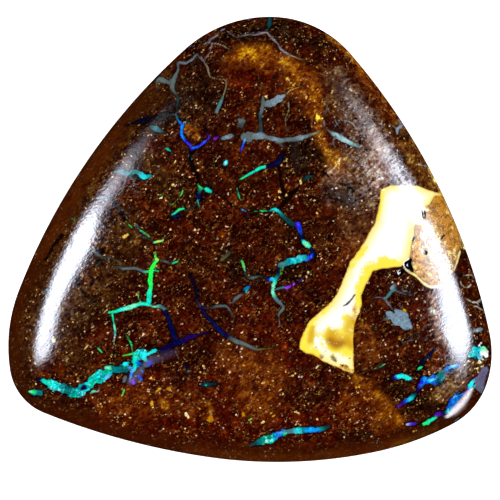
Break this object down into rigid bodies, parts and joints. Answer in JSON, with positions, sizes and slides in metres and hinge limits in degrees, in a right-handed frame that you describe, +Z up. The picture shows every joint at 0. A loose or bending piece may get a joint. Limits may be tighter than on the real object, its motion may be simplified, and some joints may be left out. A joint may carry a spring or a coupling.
{
  "type": "polished boulder opal",
  "caption": "Free-form polished boulder opal: a low-domed, rounded-triangular brown ironstone with opal veins and a flat back to rest on.",
  "frame": {"origin": "on the flat back, under the middle of the stone's outline", "axes": "+X along the straight base of the outline, the stone's longest side; +Y from the base to the rounded crown; +Z up through the dome, the stone's thickness"},
  "size_m": [0.03, 0.0276, 0.0055],
  "materials": {
    "stone": "polished, glossy brown ironstone with green, cyan and blue opal veins and a cream patch"
  },
  "bodies": {
    "root": {"boulder_opal": "stone"}
  },
  "joints": []
}
